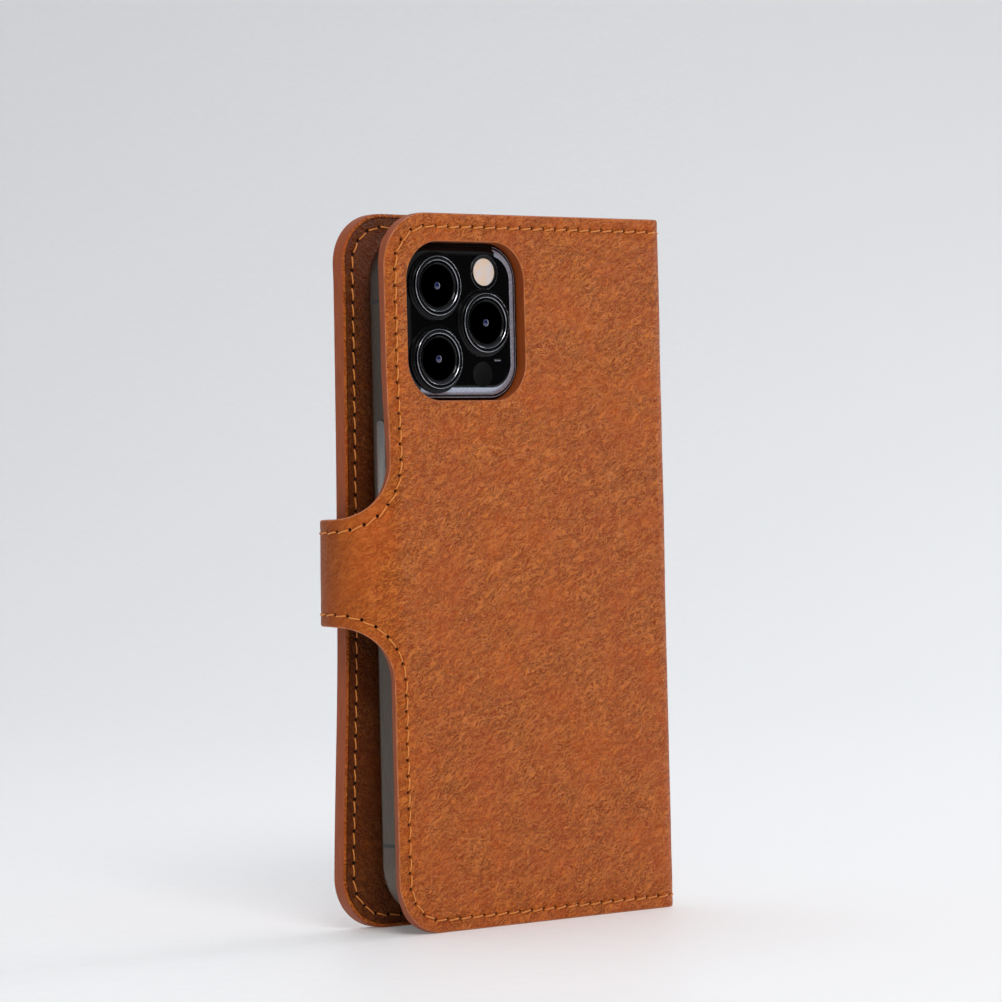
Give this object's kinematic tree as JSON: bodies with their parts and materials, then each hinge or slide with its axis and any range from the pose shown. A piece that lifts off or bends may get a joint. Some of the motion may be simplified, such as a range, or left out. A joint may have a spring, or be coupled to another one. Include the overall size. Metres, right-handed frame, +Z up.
{
  "type": "phone wallet case",
  "caption": "Leather book-style phone wallet case, closed and standing: back panel with camera cut-out, folding spine, pocketed front cover and wrap-round strap, holding a phone.",
  "frame": {"origin": "middle of the object's footprint, on the surface that its bottom edges stand on", "axes": "+Z up along the phone's height, +X towards the spine, +Y from the back panel with the camera cut-out to the front cover"},
  "size_m": [0.0894, 0.0225, 0.1537],
  "materials": {
    "shell_leather": "full-grain vegetable-tanned leather, soft sheen",
    "lining_leather": "full-grain leather, soft sheen",
    "pocket_leather": "thin split leather, soft sheen",
    "board": "grey bookbinding board",
    "thread": "waxed polyester thread",
    "suction_pad": "micro-suction foam, matte",
    "keeper_steel": "zinc-plated sheet",
    "magnet_sheet": "flexible rubber-bonded magnet",
    "phone_metal": "polished graphite-coloured metal",
    "phone_glass": "frosted opaque rear glass",
    "display_glass": "glossy black display, switched off",
    "camera_black": "glossy black glass",
    "lens_metal": "polished dark ring",
    "lens_glass": "coated lens, seen as opaque dark glass",
    "flash_diffuser": "frosted diffuser",
    "antenna_plastic": "satin"
  },
  "bodies": {
    "back_panel": {"back_leather": "shell_leather", "back_board": "board", "back_lining": "lining_leather", "suction_pad": "suction_pad", "back_thread": "thread", "phone_frame": "phone_metal", "phone_rear_glass": "phone_glass", "phone_display": "display_glass", "antenna_bands": "antenna_plastic", "camera_plateau": "camera_black", "lens_ring_1": "lens_metal", "lens_ring_2": "lens_metal", "lens_ring_3": "lens_metal", "lens_glass_1": "lens_glass", "lens_glass_2": "lens_glass", "lens_glass_3": "lens_glass", "camera_flash": "flash_diffuser", "depth_sensor": "camera_black"},
    "spine": {"spine_leather": "shell_leather", "spine_lining": "lining_leather", "spine_thread": "thread"},
    "front_cover": {"cover_leather": "shell_leather", "cover_board": "board", "keeper_plate": "keeper_steel", "cash_pocket": "pocket_leather", "card_pocket_1": "pocket_leather", "card_pocket_2": "pocket_leather", "card_pocket_3": "lining_leather", "cover_thread": "thread"},
    "strap_side": {"strap_side_leather": "shell_leather", "strap_side_lining": "lining_leather", "strap_side_thread": "thread"},
    "strap_flap": {"strap_flap_leather": "shell_leather", "strap_flap_lining": "lining_leather", "strap_magnet": "magnet_sheet", "strap_flap_thread": "thread"},
    "side_key": {"side_button": "phone_metal"},
    "volume_up_key": {"volume_up_button": "phone_metal"},
    "volume_down_key": {"volume_down_button": "phone_metal"},
    "mute_slider": {"mute_switch": "phone_metal"}
  },
  "joints": [
    {"name": "spine_fold", "type": "hinge", "parent": "back_panel", "child": "spine", "pos_m": [0.04289, -0.00937, 0.07685], "axis": [0, 0, -1], "range_deg": [0, 90]},
    {"name": "cover_fold", "type": "hinge", "parent": "spine", "child": "front_cover", "pos_m": [0.04289, 0.00396, 0.07685], "axis": [0, 0, -1], "range_deg": [-2, 87.8]},
    {"name": "strap_root_fold", "type": "hinge", "parent": "back_panel", "child": "strap_side", "pos_m": [-0.04135, -0.00783, 0.07685], "axis": [0, 0, 1], "range_deg": [0, 90], "deforming": ["strap_side_leather", "strap_side_lining", "strap_side_thread"]},
    {"name": "strap_flap_fold", "type": "hinge", "parent": "strap_side", "child": "strap_flap", "pos_m": [-0.04146, 0.00813, 0.07685], "axis": [0, 0, 1], "range_deg": [0, 92.2], "deforming": ["strap_flap_leather", "strap_flap_lining", "strap_magnet", "strap_flap_thread"]},
    {"name": "side_button_press", "type": "slide", "parent": "back_panel", "child": "side_key", "axis": [1, 0, 0], "range_m": [0, 0.00025], "stiffness_N_per_m": 4000},
    {"name": "volume_up_press", "type": "slide", "parent": "back_panel", "child": "volume_up_key", "axis": [-1, 0, 0], "range_m": [0, 0.00025], "stiffness_N_per_m": 4000},
    {"name": "volume_down_press", "type": "slide", "parent": "back_panel", "child": "volume_down_key", "axis": [-1, 0, 0], "range_m": [0, 0.00025], "stiffness_N_per_m": 4000},
    {"name": "mute_slide", "type": "slide", "parent": "back_panel", "child": "mute_slider", "axis": [0, 1, 0], "range_m": [0, 0.001]}
  ]
}
